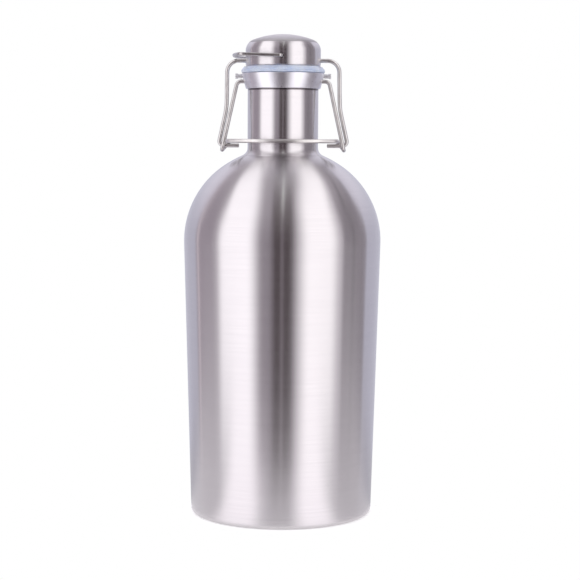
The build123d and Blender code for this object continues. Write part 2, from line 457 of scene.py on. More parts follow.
@dataclass(frozen=True)
class Palette:
    """The finishes that the growler's pieces share."""

    sheet: Material
    neck_sheet: Material
    cap_sheet: Material
    collar: Material
    wire: Material
    loop: Material
    pin: Material
    silicone: Material
    plastic: Material

    @classmethod
    def mixed(cls) -> "Palette":
        """Makes every finish once.

        Returns:
            The palette of their materials.
        """
        finishes = {
            "sheet": BrushedSteel("bottle_brushed_steel"),
            # The neck's painted shade band lies just below the collar.
            "neck_sheet": BrushedSteel("neck_brushed_steel", painted_shade_band=(253.6 * MM, 254.5 * MM)),
            "cap_sheet": BrushedSteel("cap_brushed_steel", line_length=25 * MM, brushed_to=282.3 * MM),
            "collar": SatinCasting("collar_satin_steel"),
            "wire": DrawnWire("closure_polished_wire"),
            # Painted shade: the lift loop is a darker copy of the wire finish, standing in for the darker
            # reflections on its level runs.
            "loop": DrawnWire("loop_wire_painted_shade", (0.50, 0.48, 0.48), (0.44, 0.42, 0.42), 0.24),
            # Painted highlight: the studs are a lighter copy of the wire finish, standing in for the
            # bright light on their tops.
            "pin": DrawnWire("stud_steel_painted_highlight", (0.86, 0.86, 0.88), (0.80, 0.80, 0.82), 0.42),
            "silicone": Silicone("seal_silicone"),
            "plastic": MouldedPlastic("core_moulded_plastic"),
        }
        return cls(**{name: finish.material() for name, finish in finishes.items()})


# ---------------------------------------------------------------- modelling by hand


class Workpiece:
    """A mesh that is being modelled: it stays in edit mode until it is done."""

    def __init__(self, name: str) -> None:
        """Takes the primitive that was just added, with its place moved into its mesh.

        Args:
            name: The piece's name.
        """
        bpy.ops.object.transform_apply(location=True, rotation=True, scale=True)
        self.obj = bpy.context.object
        self.obj.name = self.obj.data.name = name
        bpy.ops.object.mode_set(mode="EDIT")
        bpy.ops.mesh.select_mode(type="VERT")
        bpy.ops.mesh.select_all(action="SELECT")

    def extrude(self, move: Vector) -> None:
        """Extrudes what is selected along a move."""
        bpy.ops.mesh.extrude_region_move(TRANSFORM_OT_translate={"value": tuple(move)})

    def spin(self, centre: Vector, axis: Vector, angle: float, steps: int) -> None:
        """Spins what is selected about an axis, clockwise where the axis points at the eye."""
        bpy.ops.mesh.spin(steps=steps, angle=angle, center=tuple(centre), axis=tuple(axis))

    def resize(self, factors: Sequence[float], about: Vector) -> None:
        """Scales what is selected about a point."""
        bpy.ops.transform.resize(value=tuple(factors), center_override=tuple(about))

    def pick_vertices(self, test: Callable[[Vector], bool]) -> None:
        """Selects vertices, and the edges and faces between them.

        Args:
            test: Whether a vertex at a place is to be selected.
        """
        mesh = bmesh.from_edit_mesh(self.obj.data)
        for vertex in mesh.verts:
            vertex.select = test(vertex.co)
        mesh.select_flush_mode()
        mesh.select_flush(True)
        bmesh.update_edit_mesh(self.obj.data)

    def pick_faces(self, test: Callable[[Vector, Vector], bool]) -> None:
        """Selects faces.

        Args:
            test: Whether a face with a centre and a normal is to be selected.
        """
        bpy.ops.mesh.select_mode(type="FACE")
        mesh = bmesh.from_edit_mesh(self.obj.data)
        for face in mesh.faces:
            face.select_set(test(face.calc_center_median(), face.normal))
        bmesh.update_edit_mesh(self.obj.data)

    def round_edges(self, width: float, steps: int) -> None:
        """Rounds the edges between the selected vertices or faces.

        Args:
            width: How far the rounding reaches from the edge.
            steps: How many chords the rounding has.
        """
        bpy.ops.mesh.select_mode(type="EDGE")
        bpy.ops.mesh.bevel(offset=width, segments=steps, affect="EDGES")

    def close_rims(self) -> None:
        """Closes each open rim with one face."""
        bpy.ops.mesh.select_mode(type="EDGE")
        bpy.ops.mesh.select_all(action="DESELECT")
        bpy.ops.mesh.select_non_manifold(use_wire=False, use_multi_face=False, use_verts=False)
        bpy.ops.mesh.edge_face_add()

    def done(self) -> Object:
        """Merges doubles, turns the faces outwards and leaves edit mode.

        Returns:
            The finished object.
        """
        bpy.ops.mesh.select_mode(type="VERT")
        bpy.ops.mesh.select_all(action="SELECT")
        bpy.ops.mesh.remove_doubles(threshold=2 * NUDGE)
        bpy.ops.mesh.normals_make_consistent(inside=False)
        bpy.ops.object.mode_set(mode="OBJECT")
        bpy.ops.object.shade_smooth_by_angle(angle=SHARP)
        return self.obj


class Lathe(Workpiece):
    """An outline drawn with one vertex, beside the upright axis, and turned about it."""

    def __init__(self, name: str, radius: float, height: float) -> None:
        """Sets the pen down.

        Args:
            name: The piece's name.
            radius: The outline's first point, out from the axis.
            height: The outline's first point, up from the ground.
        """
        self.pen = Vector((radius, 0, height))
        bpy.ops.mesh.primitive_plane_add(size=MM, location=self.pen)
        super().__init__(name)
        bpy.ops.mesh.merge(type="CENTER")

    def line_to(self, radius: float, height: float) -> "Lathe":
        """Draws a straight line.

        Args:
            radius: The line's end, out from the axis.
            height: The line's end, up from the ground.

        Returns:
            The lathe itself, for the next stroke.
        """
        target = Vector((radius, 0, height))
        self.extrude(target - self.pen)
        self.pen = target
        return self

    def arc(self, radius: float, height: float, degrees: float, steps: int) -> "Lathe":
        """Draws an arc about a centre, anticlockwise as seen from the front.

        Args:
            radius: The arc's centre, out from the axis.
            height: The arc's centre, up from the ground.
            degrees: How far to turn; below zero is clockwise.
            steps: How many chords the arc has.

        Returns:
            The lathe itself, for the next stroke.
        """
        centre = Vector((radius, 0, height))
        self.spin(centre, BACK, math.radians(degrees), steps)
        turned = Matrix.Rotation(-math.radians(degrees), 3, "Y") @ (self.pen - centre)
        self.pen = centre + turned
        return self

    def turn(self, steps: int) -> "Lathe":
        """Turns the outline all the way round.

        Args:
            steps: How many sides the turned shape has.

        Returns:
            The lathe itself, with its shape ready to be finished.
        """
        bpy.ops.mesh.select_all(action="SELECT")
        self.spin(Vector(), UP, math.tau, steps)
        return self


class BentWire(Workpiece):
    """A wire bent as on a jig: straight runs joined by round bends, with broken ends."""

    SIDES = 20
    DEGREES_PER_STEP = 6.0
    FEWEST_STEPS = 3
    END_BREAK = 0.35 * MM

    def __init__(self, name: str, points: Sequence[Vector], bends: Sequence[float],
                 diameter: float) -> None:
        """Bends the wire.

        Args:
            name: The piece's name.
            points: The corners of the wire's middle line, ends included.
            bends: The bend radius at each corner between the ends.
            diameter: The wire's thickness.
        """
        heads = [(after - before).normalized() for before, after in zip(points, points[1:])]
        full = diameter / 2
        tip = full - self.END_BREAK
        bpy.ops.mesh.primitive_circle_add(
            vertices=self.SIDES, radius=tip, location=points[0],
            rotation=heads[0].to_track_quat("Z", "Y").to_euler())
        super().__init__(name)
        place = self.step(points[0], heads[0] * self.END_BREAK)
        self.resize((full / tip,) * 3, place)
        for corner, radius, head, new_head in zip(points[1:-1], bends, heads, heads[1:]):
            angle = head.angle(new_head)
            bend_start = corner - head * radius * math.tan(angle / 2)
            place = self.step(place, bend_start - place)
            inwards = (new_head - head * head.dot(new_head)).normalized()
            centre = place + inwards * radius
            steps = max(self.FEWEST_STEPS, round(math.degrees(angle) / self.DEGREES_PER_STEP))
            self.spin(centre, new_head.cross(head).normalized(), angle, steps)
            place = corner + new_head * radius * math.tan(angle / 2)
        place = self.step(place, points[-1] - heads[-1] * self.END_BREAK - place)
        place = self.step(place, heads[-1] * self.END_BREAK)
        self.resize((tip / full,) * 3, place)
        self.close_rims()

    def step(self, place: Vector, move: Vector) -> Vector:
        """Extrudes the wire's open end along a move and returns where it then is."""
        self.extrude(move)
        return place + move


def apply_modifier(obj: Object, kind: str, **settings: Any) -> None:
    """Adds a modifier to an object and applies it.

    Args:
        obj: The object, which becomes the active one.
        kind: The modifier's type.
        settings: The modifier's properties.
    """
    bpy.ops.object.select_all(action="DESELECT")
    bpy.context.view_layer.objects.active = obj
    obj.select_set(True)
    modifier = obj.modifiers.new(kind.title(), kind)
    for name, value in settings.items():
        setattr(modifier, name, value)
    bpy.ops.object.modifier_apply(modifier=modifier.name)


def thicken(obj: Object, wall: float) -> None:
    """Gives a turned skin the thickness of its sheet, inwards."""
    apply_modifier(obj, "SOLIDIFY", thickness=wall, offset=-1.0, use_even_offset=True)


def cut(obj: Object, cutter: Object, operation: str = "DIFFERENCE") -> None:
    """Cuts an object with another, or joins the two, and removes the other.

    Args:
        obj: The object that stays.
        cutter: The object that is used up.
        operation: The Boolean modifier's operation.
    """
    apply_modifier(obj, "BOOLEAN", object=cutter, operation=operation, solver="EXACT")
    bpy.data.objects.remove(cutter)


def cylinder(name: str, centre: Vector, turn: Sequence[float], radius: float, length: float,
             sides: int) -> Workpiece:
    """Starts a workpiece from a cylinder.

    Args:
        name: The piece's name.
        centre: The middle of its axis.
        turn: How it is turned from upright, as Euler angles.
        radius: Its radius.
        length: Its length.
        sides: How many sides it has.

    Returns:
        The workpiece, in edit mode.
    """
    bpy.ops.mesh.primitive_cylinder_add(
        vertices=sides, radius=radius, depth=length, location=centre, rotation=turn)
    return Workpiece(name)


def rod(name: str, centre: Vector, along: Vector, radius: float, length: float, sides: int = 32) -> Object:
    """Makes a plain round rod, for cutting a hole along a direction."""
    turn = along.to_track_quat("Z", "Y").to_euler()
    return cylinder(name, centre, turn, radius, length, sides).done()


def dress(obj: Object, material: Material, slot: Slot, body: Body, *nodes: str) -> None:
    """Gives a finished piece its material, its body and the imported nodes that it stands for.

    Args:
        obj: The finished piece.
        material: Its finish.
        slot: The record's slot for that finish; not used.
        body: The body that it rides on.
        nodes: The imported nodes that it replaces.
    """
    obj.data.materials.clear()
    obj.data.materials.append(material)
    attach(obj, body.value)
    if nodes:
        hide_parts(*nodes)
    LOG.info("%s: %d faces, rides on %s", obj.name, len(obj.data.polygons), body.value)


def dress_node(name: str, material: Material) -> None:
    """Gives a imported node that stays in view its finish, in every one of its slots.

    Args:
        name: The node's name.
        material: Its finish.
    """
    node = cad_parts[name]
    if not node.data.materials:
        node.data.materials.append(material)
    for index in range(len(node.data.materials)):
        node.data.materials[index] = material
    LOG.info("%s: packed shape kept", name)


def foot_of(node: str) -> float:
    """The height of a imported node's lowest point."""
    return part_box(node)[0].z


def top_of(node: str) -> float:
    """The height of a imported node's highest point."""
    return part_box(node)[1].z


def reach_of(node: str) -> float:
    """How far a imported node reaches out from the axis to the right."""
    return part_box(node)[1].x


def packed(measure: Callable[[str], float], node: str) -> Any:
    """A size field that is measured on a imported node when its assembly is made."""
    return field(default_factory=lambda: measure(node))


def bow(front: float, side: float, radius: float, half_angle: float) -> tuple[float, float]:
    """Where the corners of a bowed bar lie, so that the bow just reaches the front.

    Args:
        front: How far out the bow reaches.
        side: Half of the distance between the bar's corners.
        radius: The bow's radius.
        half_angle: Half of the bow's arc, in degrees.

    Returns:
        How far out the bow's runs would meet, and how far out the bar's corners are.
    """
    turn = math.radians(half_angle)
    apex = front + radius * (1 / math.cos(turn) - 1)
    return apex, apex - side * math.tan(turn)


def mirrored(half: Sequence[Vector], middle: Sequence[Vector], flip: Vector) -> list[Vector]:
    """The corners of a wire that is the same on both sides.

    Args:
        half: The corners on one side, from the wire's end to its middle.
        middle: The corners in the middle.
        flip: The factors that turn one side into the other.

    Returns:
        All the wire's corners.
    """
    return [*half, *middle, *(point * flip for point in reversed(half))]


# ---------------------------------------------------------------- the bottle


@dataclass
class Bottle:
    """Body shell, neck tube, base plate, mouth collar and the two studs.

    A face whose normal lies along X by more than FACING is one of a piece's ends, and
    by more than SQUARE it is the flat of such an end and not its rounding.
    """

    FACING: ClassVar[float] = 0.9
    SQUARE: ClassVar[float] = 0.99

    palette: Palette
    body_radius: float = packed(reach_of, "body_shell")
    mouth: float = packed(top_of, "neck_tube")
    foot_radius: float = 54.5 * MM
    foot_round: float = 2.8 * MM
    foot_ring_radius: float = 46.0 * MM
    wall: float = SHEET
    side_parts: int = 4
    knuckle_height: float = 164.5 * MM
    knuckle_radius: float = 54.5 * MM
    crown_radius: float = 74.5 * MM
    crown_degrees: float = 58.0
    neck_radius: float = NECK_RADIUS
    neck_fillet: float = 5.0 * MM
    weld_groove: float = 0.22 * MM
    rim_round: float = 0.25 * MM
    collar_height: float = 9.2 * MM
    collar_base_radius: float = 22.3 * MM
    collar_top_radius: float = 24.6 * MM
    collar_round: float = 0.45 * MM
    press_gap: float = 0.03 * MM
    lug_face: float = packed(reach_of, "mouth_collar")
    lug_width: float = 8.0 * MM
    lug_drop: float = 1.4 * MM
    lug_round: float = 1.0 * MM
    lug_lean: float = 1.8 * MM
    pivot_drop: float = PIVOT_DROP
    pivot_hole: tuple[float, float] = (1.28 * MM, 2.3 * MM)
    stud_drop: float = 1.7 * MM
    stud_radius: float = 1.6 * MM
    stud_length: float = 3.9 * MM
    stud_head_length: float = 1.5 * MM
    stud_neck_radius: float = 1.3 * MM
    stud_round: float = 0.28 * MM
    shank_radius: float = 1.1 * MM
    shank_length: float = 2.4 * MM
    cut_over: float = 0.8 * MM
    turn_steps: int = 256

    def build(self) -> None:
        """Builds and dresses every piece of the bottle."""
        self.build_body_shell()
        self.build_neck_tube()
        self.build_collar()
        for side in Side:
            self.build_stud(side)
        dress_node("base_plate", self.palette.sheet)

    def lean(self) -> float:
        """Finds how far the tapered wall leans out to meet the knuckle's arc.

        Returns:
            The lean in radians.
        """
        turn_radius = self.body_radius - self.knuckle_radius
        run = self.foot_radius - turn_radius
        reach = math.hypot(run, self.knuckle_height)
        return math.asin(self.knuckle_radius / reach) - math.atan2(run, self.knuckle_height)

    def crown_centre(self) -> tuple[float, float]:
        """Finds the centre of the shoulder's flatter arc.

        Returns:
            Its radius and its height.
        """
        turn = math.radians(self.crown_degrees)
        offset = self.crown_radius - self.knuckle_radius
        return (self.body_radius - self.knuckle_radius - offset * math.cos(turn),
                self.knuckle_height - offset * math.sin(turn))

    def flare(self) -> tuple[float, float, float]:
        """Finds the centre of the neck's flared foot.

        Returns:
            Its radius, its height, and the flare's angle in degrees.
        """
        crown_x, crown_z = self.crown_centre()
        x = self.neck_radius + self.neck_fillet
        z = crown_z + math.sqrt((self.crown_radius + self.neck_fillet) ** 2 - (x - crown_x) ** 2)
        return x, z, math.degrees(math.atan2(z - crown_z, x - crown_x))

    def build_body_shell(self) -> None:
        """Turns the foot ring, side and shoulder, which ends in the weld's groove."""
        lean = self.lean()
        foot_x = self.foot_radius + self.foot_round * (math.tan(lean) - 1 / math.cos(lean))
        turn_radius = self.body_radius - self.knuckle_radius
        crown_x, crown_z = self.crown_centre()
        flare_degrees = self.flare()[2]
        lathe = Lathe("bottle_body", self.foot_ring_radius, 0.0)
        lathe.line_to(foot_x, 0.0)
        lathe.arc(foot_x, self.foot_round, 90 - math.degrees(lean), steps=10)
        side_foot = lathe.pen.copy()
        side_top = Vector((turn_radius + self.knuckle_radius * math.cos(lean), 0,
                           self.knuckle_height - self.knuckle_radius * math.sin(lean)))
        for part in range(1, self.side_parts + 1):
            target = side_foot.lerp(side_top, part / self.side_parts)
            lathe.line_to(target.x, target.z)
        knuckle_degrees = self.crown_degrees + math.degrees(lean)
        lathe.arc(turn_radius, self.knuckle_height, knuckle_degrees, steps=36)
        groove = math.degrees(self.weld_groove / self.crown_radius)
        lathe.arc(crown_x, crown_z, flare_degrees - self.crown_degrees - groove, steps=8)
        turn = math.radians(flare_degrees)
        bottom = self.crown_radius - self.weld_groove
        lathe.line_to(crown_x + bottom * math.cos(turn), crown_z + bottom * math.sin(turn))
        shell = lathe.turn(self.turn_steps).done()
        thicken(shell, self.wall)
        dress(shell, self.palette.sheet, Slot.BRUSHED, Body.BOTTLE, "body_shell")

    def build_neck_tube(self) -> None:
        """Turns the neck with its flared foot, and rounds the lip at the mouth."""
        x, z, degrees = self.flare()
        turn = math.radians(degrees)
        bottom = self.neck_fillet + self.weld_groove
        lathe = Lathe("bottle_neck", x - bottom * math.cos(turn), z - bottom * math.sin(turn))
        groove = self.weld_groove / self.neck_fillet
        start = turn - groove
        lathe.line_to(x - self.neck_fillet * math.cos(start), z - self.neck_fillet * math.sin(start))
        lathe.arc(x, z, math.degrees(groove) - degrees, steps=14)
        lathe.line_to(self.neck_radius, self.mouth)
        tube = lathe.turn(self.turn_steps // 2).done()
        thicken(tube, self.wall)
        piece = Workpiece(tube.name)
        piece.pick_vertices(lambda place: place.z > self.mouth - 10 * NUDGE)
        piece.round_edges(self.rim_round, steps=3)
        dress(piece.done(), self.palette.neck_sheet, Slot.BRUSHED, Body.BOTTLE, "neck_tube")

    def build_collar(self) -> None:
        """Turns the conical collar, joins its two lugs and cuts the bore and the pin holes."""
        base = self.mouth - self.collar_height
        r = self.collar_round
        lean = math.atan2(self.collar_top_radius - self.collar_base_radius, self.collar_height)
        lathe = Lathe("mouth_collar_ring", 0.0, base)
        lathe.line_to(self.collar_base_radius - r, base)
        lathe.arc(self.collar_base_radius - r, base + r, 90 - math.degrees(lean), steps=4)
        upper = self.collar_top_radius - r / math.cos(lean)
        lathe.line_to(upper + r * math.cos(lean), self.mouth - r - r * math.sin(lean))
        lathe.arc(upper, self.mouth - r, 90 + math.degrees(lean), steps=5)
        lathe.line_to(0.0, self.mouth)
        collar = lathe.turn(self.turn_steps // 2).done()
        lugs = self.lug_bar()
        cut(lugs, self.lug_cone(), "INTERSECT")
        cut(collar, lugs, "UNION")
        bore = self.neck_radius + self.press_gap
        cut(collar, rod("bore", Vector((0, 0, self.mouth)), UP, bore, THROUGH * self.collar_height,
                        self.turn_steps // 2))
        self.cut_pin_holes(collar)
        bpy.ops.object.shade_smooth_by_angle(angle=SHARP)
        dress(collar, self.palette.collar, Slot.BRUSHED, Body.BOTTLE, "mouth_collar")

    def cut_pin_holes(self, collar: Object) -> None:
        """Cuts the blind holes of the lever's pivots and of the studs into the lugs.

        Args:
            collar: The collar, whose lugs are cut.
        """
        holes = (
            (self.pivot_drop, *self.pivot_hole),
            (self.stud_drop, self.shank_radius + self.press_gap, self.shank_length),
        )
        for side in Side:
            for drop, radius, depth in holes:
                out = self.lug_face + self.cut_over - depth / 2
                middle = Vector((side.value * out, 0, self.mouth - drop))
                cut(collar, rod("pin_hole", middle, RIGHT, radius, depth + 2 * self.cut_over))

    def lug_bar(self) -> Object:
        """Makes the bar across the collar whose two ends are the lugs, round at the bottom.

        Returns:
            The bar, from one lug's face to the other's.
        """
        half = self.lug_width / 2
        middle = self.mouth - self.collar_height - self.lug_drop + half
        bar = cylinder("lug_bar", Vector((0, 0, middle)), LYING, half, 2 * self.lug_face, sides=48)
        bar.pick_vertices(lambda place: place.z > middle - NUDGE)
        bar.resize((1, 1, 0), Vector((0, 0, middle)))
        bar.pick_vertices(lambda place: place.z > middle - NUDGE)
        bpy.ops.transform.translate(value=(0, 0, self.mouth - middle))
        bar.pick_faces(lambda centre, normal: abs(normal.x) > self.FACING)
        bar.round_edges(self.lug_round, steps=5)
        return bar.done()

    def lug_cone(self) -> Object:
        """Turns the cone that the lugs' faces lean with, as the collar's side does.

        Returns:
            The cone, a little longer than the lugs at both ends.
        """
        foot = self.mouth - self.collar_height - self.lug_drop
        lower, upper = self.lug_face - self.lug_lean, self.lug_face
        lathe = Lathe("lug_cone", 0.0, foot - MM)
        for radius, height in ((lower, foot - MM), (lower, foot), (upper, self.mouth),
                               (upper, self.mouth + MM), (0.0, self.mouth + MM)):
            lathe.line_to(radius, height)
        return lathe.turn(self.turn_steps // 2).done()

    def build_stud(self, side: Side) -> None:
        """Models a headed pin: a round head with a thinner neck and shank drawn out of it.

        Args:
            side: The lug that the stud is pressed into.
        """
        sign = side.value
        out = self.lug_face + self.stud_length - self.stud_head_length / 2
        middle = Vector((sign * out, 0, self.mouth - self.stud_drop))
        stud = cylinder(f"stud_{side.name.lower()}_pin", middle, LYING, self.stud_radius,
                        self.stud_head_length, sides=32)
        stud.pick_faces(lambda centre, normal: abs(normal.x) > self.FACING)
        stud.round_edges(self.stud_round, steps=4)
        stud.pick_faces(lambda centre, normal: normal.x * sign < -self.SQUARE)
        reach = self.stud_radius - self.stud_round
        neck_length = self.stud_length - self.stud_head_length
        for radius, length in ((self.stud_neck_radius, neck_length),
                               (self.shank_radius, self.shank_length)):
            bpy.ops.mesh.inset(thickness=reach - radius)
            stud.extrude(Vector((-sign * length, 0, 0)))
            reach = radius
        dress(stud.done(), self.palette.pin, Slot.WIRE, Body.BOTTLE, f"stud_{side.name.lower()}")


# ---------------------------------------------------------------- the cap


@dataclass
class Cap:
    """Steel dome, moulded core and silicone seal."""

    palette: Palette
    base: float = packed(foot_of, "cap_dome")
    top: float = packed(top_of, "cap_dome")
    radius: float = packed(reach_of, "cap_dome")
    wall: float = SHEET
    edge_radius: float = 7.0 * MM
    top_radius: float = 50.0 * MM
    rim_taper: float = 0.5 * MM
    rim_height: float = 1.3 * MM
    bail_hole_height: float = BAIL_HOLE_HEIGHT
    bail_hole_radius: float = 1.33 * MM
    loop_hole_height: float = LOOP_HOLE_HEIGHT
    loop_hole_radius: float = 1.35 * MM
    seal_foot: float = packed(foot_of, "seal_ring")
    seal_radius: float = packed(reach_of, "seal_ring")
    seal_top_radius: float = 23.2 * MM
    seal_bore: float = 16.2 * MM
    seal_round: float = 0.8 * MM
    turn_steps: int = 160

    def build(self) -> None:
        """Builds and dresses every piece of the cap."""
        self.build_dome()
        self.build_seal()
        dress_node("cap_core", self.palette.plastic)

    def build_dome(self) -> None:
        """Turns the pressed dome, gives it the sheet's thickness and cuts the wires' holes."""
        sphere = self.top - self.top_radius
        edge_x = self.radius - self.edge_radius
        edge_z = sphere + math.sqrt((self.top_radius - self.edge_radius) ** 2 - edge_x ** 2)
        turn = math.degrees(math.atan2(edge_z - sphere, edge_x))
        lathe = Lathe("cap_shell", self.radius - self.rim_taper, self.base)
        lathe.line_to(self.radius - self.rim_taper / 4, self.base + self.rim_height / 2)
        lathe.line_to(self.radius, self.base + self.rim_height)
        lathe.line_to(self.radius, edge_z)
        lathe.arc(edge_x, edge_z, turn, steps=14)
        lathe.arc(0.0, sphere, 90 - turn, steps=16)
        dome = lathe.turn(self.turn_steps).done()
        thicken(dome, self.wall)
        for name, height, along, radius in (
                ("bail_hole", self.bail_hole_height, RIGHT, self.bail_hole_radius),
                ("loop_hole", self.loop_hole_height, BACK, self.loop_hole_radius)):
            cut(dome, rod(name, Vector((0, 0, self.base + height)), along, radius, THROUGH * self.radius))
        bpy.ops.object.shade_smooth_by_angle(angle=SHARP)
        dress(dome, self.palette.cap_sheet, Slot.BRUSHED, Body.CAP, "cap_dome")

    def build_seal(self) -> None:
        """Turns the thick silicone ring, upright at its foot and narrower at its top."""
        foot, top, r = self.seal_foot, self.base, self.seal_round
        middle = (foot + top) / 2
        slope = math.atan2(self.seal_radius - self.seal_top_radius, top - middle)
        bend = r * math.tan(slope / 2)
        upper_x = self.seal_top_radius - r * math.tan((math.pi / 2 - slope) / 2)
        lathe = Lathe("seal_silicone_ring", self.seal_bore, foot)
        lathe.line_to(self.seal_radius - r, foot)
        lathe.arc(self.seal_radius - r, foot + r, 90, steps=6)
        lathe.line_to(self.seal_radius, middle - bend)
        lathe.arc(self.seal_radius - r, middle - bend, math.degrees(slope), steps=4)
        lathe.line_to(upper_x + r * math.cos(slope), top - r + r * math.sin(slope))
        lathe.arc(upper_x, top - r, 90 - math.degrees(slope), steps=6)
        lathe.line_to(self.seal_bore, top)
        lathe.line_to(self.seal_bore, foot)
        seal = lathe.turn(self.turn_steps).done()
        dress(seal, self.palette.silicone, Slot.SILICONE, Body.CAP, "seal_ring")


# ---------------------------------------------------------------- the wires


@dataclass
class Closure:
    """The locking lever, the bail and the lift loop, each bent from one wire."""

    palette: Palette
    mouth: float = packed(top_of, "neck_tube")
    cap_base: float = packed(foot_of, "cap_dome")
    cap_radius: float = packed(reach_of, "cap_dome")
    lug_face: float = packed(reach_of, "mouth_collar")
    neck_radius: float = NECK_RADIUS
    pivot_drop: float = PIVOT_DROP
    pin_depth: float = 2.1 * MM
    lever_wire: float = 2.4 * MM
    bail_wire: float = 2.5 * MM
    loop_wire: float = 2.1 * MM
    wire_gap: float = 0.3 * MM
    lever_shoulder: float = 2.7 * MM
    lever_shoulder_bend: float = 3.0 * MM
    eye_drop: float = 38.1 * MM
    eye_back: float = 1.5 * MM
    eye_gap: float = 0.25 * MM
    eye_bend_share: float = 0.98
    eye_front_reach: float = 36.4 * MM
    eye_back_reach: float = 36.6 * MM
    eye_top_reach: float = 32.3 * MM
    bar_corner_reach: float = 32.8 * MM
    bar_corner_bend: float = 5.5 * MM
    bar_bow: tuple[float, float] = (45.0 * MM, 35.0)
    bail_hole_height: float = BAIL_HOLE_HEIGHT
    shoulder_reach: float = 33.4 * MM
    shoulder_bend: float = 7.0 * MM
    knee_drop: float = 28.1 * MM
    knee_reach: float = 33.8 * MM
    knee_bend: float = 40.0 * MM
    bail_foot_reach: float = 38.8 * MM
    bail_foot_bend: float = 2.6 * MM
    bail_foot_end: float = 26.4 * MM
    loop_hole_height: float = LOOP_HOLE_HEIGHT
    loop_pin_end: float = 17.77 * MM
    loop_rise: float = 1.5
    loop_reach: float = 29.2 * MM
    loop_bow: tuple[float, float] = (60.0 * MM, 19.0)
    loop_corner_bend: float = 3.5 * MM
    loop_knuckle_bend: float = 1.4 * MM
    loop_gap: float = 0.5 * MM

    def build(self) -> None:
        """Bends and dresses the three wires."""
        self.build_lever()
        self.build_bail()
        self.build_loop()

    def eye_radius(self) -> float:
        """The radius of the lever's eyes, to the middle of the wire."""
        return (self.lever_wire + self.bail_wire) / 2 + self.eye_gap

    def eye_height(self) -> float:
        """The height of the middle of the lever's eyes."""
        return self.mouth - self.pivot_drop - self.eye_drop

    def build_lever(self) -> None:
        """Bends the thumb lever: pivot ends, legs, an eye on each side and the front bar."""
        pivot = self.mouth - self.pivot_drop
        eye = self.eye_radius()
        bar = self.eye_height() + eye
        bottom = self.eye_height() - eye
        radius, half_angle = self.bar_bow
        front = self.neck_radius + self.wire_gap + self.lever_wire / 2
        apex, corner = bow(front, self.bar_corner_reach, radius, half_angle)
        half = [
            Vector((self.lug_face - self.pin_depth, 0, pivot)),
            Vector((self.lug_face + self.lever_shoulder, 0, pivot)),
            Vector((self.eye_front_reach, self.eye_back - eye, bottom)),
            Vector((self.eye_back_reach, self.eye_back + eye, bottom)),
            Vector((self.eye_top_reach, self.eye_back + eye, bar)),
            Vector((self.bar_corner_reach, -corner, bar)),
        ]
        points = mirrored(half, [Vector((0, -apex, bar))], Vector((-1, 1, 1)))
        bends = [self.lever_shoulder_bend, *[self.eye_bend_share * eye] * 3, self.bar_corner_bend]
        wire = BentWire("lever_wire", points, [*bends, radius, *reversed(bends)], self.lever_wire)
        dress(wire.done(), self.palette.wire, Slot.WIRE, Body.LEVER, "locking_lever")

    def build_bail(self) -> None:
        """Bends the wire that carries the cap, from one eye through the cap to the other."""
        top = self.cap_base + self.bail_hole_height
        drop = top - self.eye_height()

        def at(reach: float, below: float) -> Vector:
            """A corner of the bail, whose legs lean back from the cap to the eyes."""
            return Vector((reach, self.eye_back * below / drop, top - below))

        half = [
            at(self.bail_foot_end, drop),
            at(self.bail_foot_reach, drop),
            at(self.knee_reach, self.knee_drop),
            at(self.shoulder_reach, 0),
        ]
        bends = [self.bail_foot_bend, self.knee_bend, self.shoulder_bend]
        points = mirrored(half, [], Vector((-1, 1, 1)))
        wire = BentWire("bail_wire", points, [*bends, *reversed(bends)], self.bail_wire)
        dress(wire.done(), self.palette.wire, Slot.WIRE, Body.BAIL, "bail")

    def build_loop(self) -> None:
        """Bends the finger loop, hinged in the front and back of the cap."""
        side = self.cap_radius + self.loop_gap + self.loop_wire / 2
        radius, half_angle = self.loop_bow
        apex, corner = bow(self.loop_reach, side, radius, half_angle)
        half = [
            Vector((0, -self.loop_pin_end, 0)),
            Vector((0, -side, 0)),
            Vector((-corner, -side, 0)),
        ]
        flat = mirrored(half, [Vector((-apex, 0, 0))], Vector((1, -1, 1)))
        hinge = Matrix.Translation((0, 0, self.cap_base + self.loop_hole_height))
        place = hinge @ Matrix.Rotation(math.radians(self.loop_rise), 4, "Y")
        points = [place @ point for point in flat]
        bends = [self.loop_knuckle_bend, self.loop_corner_bend]
        wire = BentWire("lift_loop_wire", points, [*bends, radius, *reversed(bends)], self.loop_wire)
        dress(wire.done(), self.palette.loop, Slot.WIRE, Body.LOOP, "lift_loop")


# ---------------------------------------------------------------- the studio


@dataclass(frozen=True)
class Panel:
    """A lit or dark stretch of the studio's wall, by the direction in which it lies.

    Azimuths are degrees from the front, to the right above zero. Each side fades over
    its own number of degrees. A panel with a bottom, in degrees above the horizon,
    fades out there; the others reach all the way down.
    """

    name: str
    colour: Colour
    left: float
    right: float
    left_fade: float
    right_fade: float
    bottom: float | None = None
    height_fade: float = 24.0


